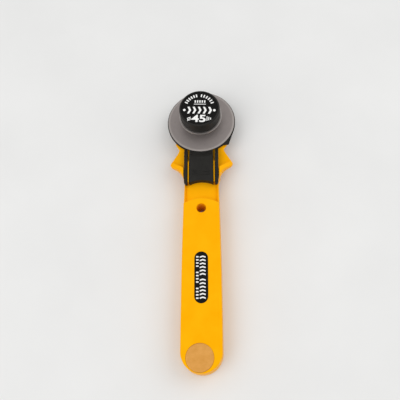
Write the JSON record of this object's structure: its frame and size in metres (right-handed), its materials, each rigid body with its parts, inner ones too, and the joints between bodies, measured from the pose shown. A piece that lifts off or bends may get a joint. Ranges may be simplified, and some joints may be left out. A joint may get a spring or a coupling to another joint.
{
  "type": "rotary cutter",
  "caption": "Straight-handled rotary cutter with a round blade on a bolt, a thumb-slid blade guard, finger wings and a hang hole.",
  "frame": {"origin": "centre of the bounding box seen from the front, on the plane that the cutter lies on: the back of the grip and the back of the nut", "axes": "+Y from the grip's round end to the blade head, +Z out of the front face, where the knob is, +X to the right seen from the front"},
  "size_m": [0.046, 0.188, 0.0307],
  "materials": {
    "yellow_plastic": "satin moulded plastic, warm yellow",
    "black_plastic": "fine-textured moulded plastic, near black",
    "label_black": null,
    "blade_steel": "satin steel with fine scratches",
    "bolt_steel": "plated steel",
    "tan_disc": "matt tan disc",
    "acetal": "off-white bearing plastic"
  },
  "bodies": {
    "handle": {"handle_front_shell": "yellow_plastic", "handle_rear_cover": "yellow_plastic", "handle_label": "label_black", "end_badge": "tan_disc", "blade_bush": "acetal", "bolt": "bolt_steel", "knob_cap": "black_plastic", "knob_face_disc": "label_black"},
    "guard": {"blade_guard": "black_plastic"},
    "blade": {"blade": "blade_steel"},
    "washers": {"rear_washer": "bolt_steel", "wave_washer": "bolt_steel"},
    "nut": {"nut_insert": "bolt_steel", "nut_cap": "black_plastic"}
  },
  "joints": [
    {"name": "guard_slide", "type": "slide", "parent": "handle", "child": "guard", "axis": [0, -1, 0], "range_m": [0, 0.0105]},
    {"name": "blade_spin", "type": "hinge", "parent": "handle", "child": "blade", "pos_m": [0, 0.071, 0.01275], "axis": [0, 0, 1], "continuous": true},
    {"name": "nut_backoff", "type": "slide", "parent": "handle", "child": "washers", "axis": [0, 0, -1], "range_m": [0, 0.00301]},
    {"name": "nut_turn", "type": "hinge", "parent": "washers", "child": "nut", "pos_m": [0, 0.071, 0.0024], "axis": [0, 0, -1], "range_deg": [0, 1080]}
  ],
  "couplings": [
    {"joint": "nut_backoff", "follows": "nut_turn", "m_per_rad": 0.00015915}
  ]
}
